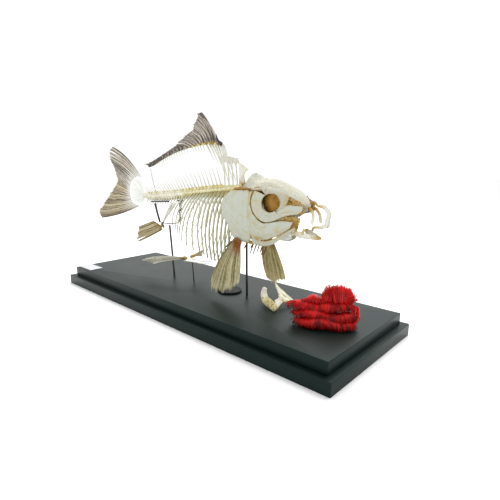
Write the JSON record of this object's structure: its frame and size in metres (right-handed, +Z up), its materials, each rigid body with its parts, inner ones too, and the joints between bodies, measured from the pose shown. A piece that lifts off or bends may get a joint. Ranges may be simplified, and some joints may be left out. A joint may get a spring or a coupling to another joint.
{
  "type": "fish skeleton",
  "caption": "Life-size common carp skeleton on a stepped black display board, held up by wire rods, with loose throat bones and red gill arches laid beside it.",
  "frame": {"origin": "centre of the lower board's underside", "axes": "+X along the board's long side from the tail to the mouth, +Y from the fish's right to its left, +Z up"},
  "size_m": [0.6486, 0.216, 0.3244],
  "materials": {
    "board": "satin black lacquer",
    "label": "satin, blank",
    "rubber": "matt",
    "wire": "black enamel",
    "column_bone": "dry cream bone, slightly greasy",
    "pale_bone": "dry bleached bone",
    "stained_bone": "bone stained brown by fat",
    "dark_fin": "dried grey-brown fin skin over rays",
    "straw_fin": "dried straw-brown fin skin over rays",
    "gill": "dyed crimson, glossy filaments"
  },
  "bodies": {
    "root": {"base_lower_board": "board", "base_upper_board": "board", "label_plate": "label", "rest_disc": "rubber", "rod_front": "wire", "rod_rear": "wire", "rod_pelvic": "wire", "cradle_saddle": "wire", "cradle_strut": "wire", "cradle_crosswire": "wire", "cradle_twist": "wire", "spine_trunk": "column_bone", "ribs_R": "column_bone", "ribs_L": "column_bone", "spine_tail": "column_bone", "hypural_plates": "pale_bone", "caudal_fin_upper": "dark_fin", "caudal_fin_lower": "straw_fin", "dorsal_fin_front": "dark_fin", "dorsal_fin_rear": "dark_fin", "dorsal_thorn": "dark_fin", "dorsal_wire": "wire", "supraneural_plate": "pale_bone", "anal_fin": "straw_fin", "anal_pterygiophores": "column_bone", "pelvic_girdle": "pale_bone", "pelvic_fin_R": "straw_fin", "pelvic_fin_L": "straw_fin", "neurocranium": "pale_bone", "opercle_R": "pale_bone", "opercle_L": "pale_bone", "preopercle_R": "pale_bone", "preopercle_L": "pale_bone", "interopercle_R": "pale_bone", "interopercle_L": "pale_bone", "infraorbitals_R": "pale_bone", "infraorbitals_L": "pale_bone", "lachrymal_R": "pale_bone", "lachrymal_L": "pale_bone", "suspensorium_R": "stained_bone", "suspensorium_L": "stained_bone", "lower_jaw_R": "pale_bone", "lower_jaw_L": "pale_bone", "premaxilla_R": "pale_bone", "maxilla_R": "stained_bone", "premaxilla_L": "pale_bone", "maxilla_L": "stained_bone", "kinethmoid": "stained_bone", "hyoid_arch": "pale_bone", "cleithrum_R": "stained_bone", "cleithrum_L": "stained_bone", "pectoral_fin_R": "straw_fin", "pectoral_fin_L": "straw_fin", "pharyngeal_R": "pale_bone", "pharyngeal_L": "pale_bone", "gill_arch_1": "gill", "gill_arch_2": "gill", "gill_arch_3": "gill", "gill_arch_4": "gill", "gill_leaf": "gill"}
  },
  "joints": []
}
